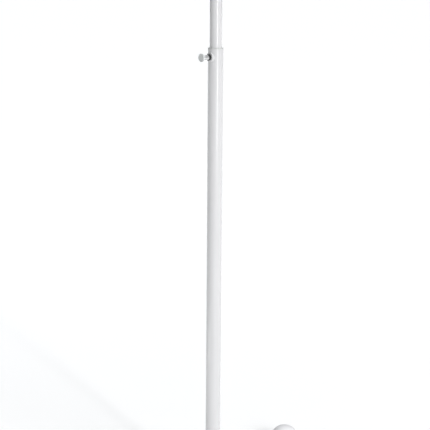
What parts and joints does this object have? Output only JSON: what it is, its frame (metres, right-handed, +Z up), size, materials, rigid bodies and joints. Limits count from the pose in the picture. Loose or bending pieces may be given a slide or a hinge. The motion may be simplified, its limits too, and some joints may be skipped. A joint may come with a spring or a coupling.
{
  "type": "arc floor lamp",
  "caption": "Arc floor lamp with a telescopic thumbscrew post on a three-legged base, an arched tube arm and a tilting dome shade.",
  "frame": {"origin": "on the floor, at the point where the post's axis meets it, in the underside of the pad under the base hub", "axes": "+Z up along the post; the arm reaches out along -X over the left leg; -Y is the side that the thumbscrew and switch face"},
  "size_m": [1.3717, 0.6336, 1.9124],
  "materials": {
    "white_paint": "satin white powder coat",
    "zinc_steel": "bright zinc plate",
    "knob_plastic": "light grey, smooth",
    "black_rubber": "matt",
    "bush_plastic": "pale grey moulded nylon",
    "white_plastic": "white moulded",
    "opal_plastic": "opal diffuser",
    "brass": "bright",
    "cap_metal": "rolled thread"
  },
  "bodies": {
    "stand": {"base_hub": "white_paint", "leg_left": "white_paint", "leg_back": "white_paint", "leg_front": "white_paint", "foot_left": "white_paint", "foot_back": "white_paint", "foot_front": "white_paint", "hub_pad": "black_rubber", "foot_pads": "black_rubber", "foot_screws": "zinc_steel", "leg_screws": "zinc_steel", "socket_grub_screws": "zinc_steel", "base_bolt": "zinc_steel", "base_washer": "zinc_steel", "post_foot_plug": "zinc_steel", "cord_gland": "bush_plastic", "lower_post": "white_paint", "top_bush": "bush_plastic", "screw_saddle": "white_paint"},
    "lock_washer": {"lock_washer": "black_rubber"},
    "thumbscrew": {"thumbscrew_stem": "zinc_steel", "thumbscrew_head": "knob_plastic"},
    "guide": {"guide_bush": "bush_plastic"},
    "arm": {"inner_post": "white_paint", "guide_clip": "zinc_steel", "arm_collar": "white_paint", "collar_screws": "zinc_steel", "arm_tube": "white_paint", "arm_grommet": "black_rubber", "tilt_fork": "white_paint", "pivot_bolt": "zinc_steel", "pivot_nut": "zinc_steel", "pivot_washers": "bush_plastic", "spring_washer": "zinc_steel"},
    "head": {"head_neck": "white_paint", "nipple": "zinc_steel", "nipple_nut": "zinc_steel", "holder_cap": "white_paint", "cap_grommet": "black_rubber", "lampholder": "white_plastic", "holder_contacts": "brass", "shade": "white_paint", "shade_ring": "white_plastic", "bulb_contact": "brass", "bulb_insulator": "white_plastic", "bulb_cap": "cap_metal", "bulb_body": "white_plastic", "bulb_globe": "opal_plastic", "switch_body": "bush_plastic", "switch_nut": "zinc_steel"},
    "switch": {"switch_shaft": "zinc_steel", "switch_knob": "white_plastic"}
  },
  "joints": [
    {"name": "post_slide", "type": "slide", "parent": "stand", "child": "guide", "axis": [0, 0, 1], "range_m": [-0.29, 0.25]},
    {"name": "post_turn", "type": "hinge", "parent": "guide", "child": "arm", "pos_m": [0, 0, 1], "axis": [0, 0, 1], "range_deg": [-135, 135]},
    {"name": "screw_travel", "type": "slide", "parent": "stand", "child": "lock_washer", "axis": [-0.7071, -0.7071, 0], "range_m": [0, 0.0038]},
    {"name": "screw_turn", "type": "hinge", "parent": "lock_washer", "child": "thumbscrew", "pos_m": [-0.02121, -0.02121, 0.973], "axis": [-0.7071, -0.7071, 0], "range_deg": [0, 1080]},
    {"name": "shade_tilt", "type": "hinge", "parent": "arm", "child": "head", "pos_m": [-1.02498, 0, 1.65706], "axis": [0, 1, 0], "range_deg": [-50, 50]},
    {"name": "switch_turn", "type": "hinge", "parent": "head", "child": "switch", "pos_m": [-1.02498, -0.03, 1.61006], "axis": [0, -1, 0], "continuous": true}
  ],
  "couplings": [
    {"joint": "screw_travel", "follows": "screw_turn", "m_per_rad": 0.00019894}
  ]
}
